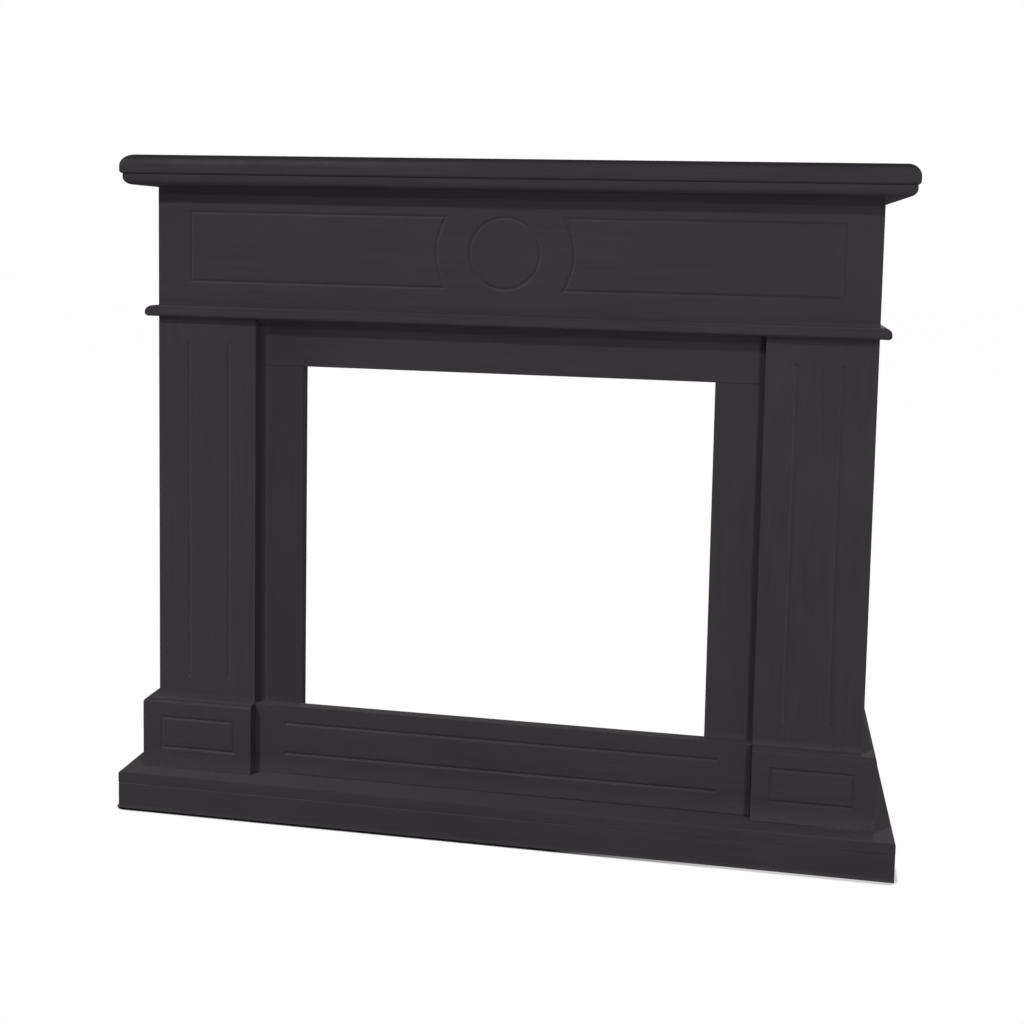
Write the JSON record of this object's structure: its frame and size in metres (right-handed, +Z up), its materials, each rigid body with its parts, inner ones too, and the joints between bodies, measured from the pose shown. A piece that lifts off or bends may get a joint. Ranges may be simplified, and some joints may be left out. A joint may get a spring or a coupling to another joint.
{
  "type": "fireplace surround",
  "caption": "Free-standing fireplace surround with a round-nosed mantel shelf, routed frieze, fluted pilasters on plinth blocks, a clear fire opening and a hearth base.",
  "frame": {"origin": "on the floor under the middle of the surround's box", "axes": "+X to the viewer's right along the shelf, +Y from the front towards the wall, +Z up"},
  "size_m": [1.162, 0.4, 1],
  "materials": {
    "painted_board": "satin charcoal paint",
    "raw_board": "bare fibreboard",
    "softwood": "planed",
    "beech": "fluted dowel",
    "zinc_steel": "zinc plated"
  },
  "bodies": {
    "root": {"apron_front": "painted_board", "apron_left": "painted_board", "apron_right": "painted_board", "block_front_left": "painted_board", "block_front_right": "painted_board", "block_return_left": "painted_board", "block_return_right": "painted_board", "bottom_rail": "painted_board", "frieze_back_rail": "raw_board", "frieze_batten_left": "softwood", "frieze_batten_right": "softwood", "frieze_front": "painted_board", "frieze_side_left": "painted_board", "frieze_side_right": "painted_board", "header": "painted_board", "hearth_bearer_left": "raw_board", "hearth_bearer_right": "raw_board", "hearth_board": "painted_board", "hearth_cross_rail": "raw_board", "hearth_dowels": "beech", "hearth_glue_blocks": "softwood", "necking_board": "painted_board", "necking_dowels": "beech", "pilaster_batten_left": "softwood", "pilaster_batten_right": "softwood", "pilaster_front_left": "painted_board", "pilaster_front_right": "painted_board", "pilaster_side_left": "painted_board", "pilaster_side_right": "painted_board", "shelf_batten_front": "softwood", "shelf_batten_left": "softwood", "shelf_batten_right": "softwood", "shelf_board": "painted_board", "shelf_underboard": "painted_board", "stile_left": "painted_board", "stile_right": "painted_board", "wall_bracket_left": "zinc_steel", "wall_bracket_right": "zinc_steel"}
  },
  "joints": []
}
